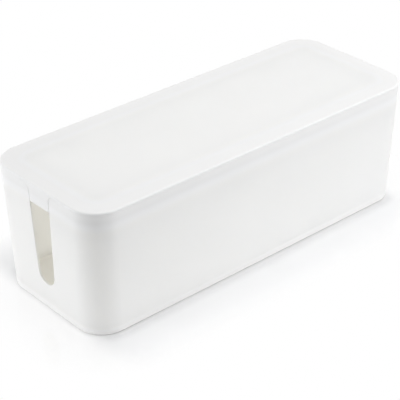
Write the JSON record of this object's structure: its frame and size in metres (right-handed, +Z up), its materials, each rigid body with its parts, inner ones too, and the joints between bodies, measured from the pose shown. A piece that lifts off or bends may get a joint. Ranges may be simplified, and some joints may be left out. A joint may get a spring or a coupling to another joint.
{
  "type": "cable management box",
  "caption": "Long white box with rounded corners, slightly leaning walls and a flush lift-off lid; a tall slot in each end lets the cables of a hidden power strip out.",
  "frame": {"origin": "on the surface that the box stands on, under the middle of the box", "axes": "+X along the box's length, from one cable slot to the other; +Y across it; +Z up, out of the lid"},
  "size_m": [0.3998, 0.1508, 0.13],
  "materials": {
    "box_plastic": "moulded white ABS with a fine satin texture",
    "lid_plastic": "moulded white ABS with a fine satin texture",
    "foot_rubber": "soft pale grey rubber"
  },
  "bodies": {
    "box": {"box_body": "box_plastic", "foot_front_left": "foot_rubber", "foot_front_right": "foot_rubber", "foot_back_left": "foot_rubber", "foot_back_right": "foot_rubber"},
    "lid": {"lid": "lid_plastic"}
  },
  "joints": [
    {"name": "lid_lift", "type": "slide", "parent": "box", "child": "lid", "axis": [0, 0, 1], "range_m": [0, 0.15]}
  ]
}
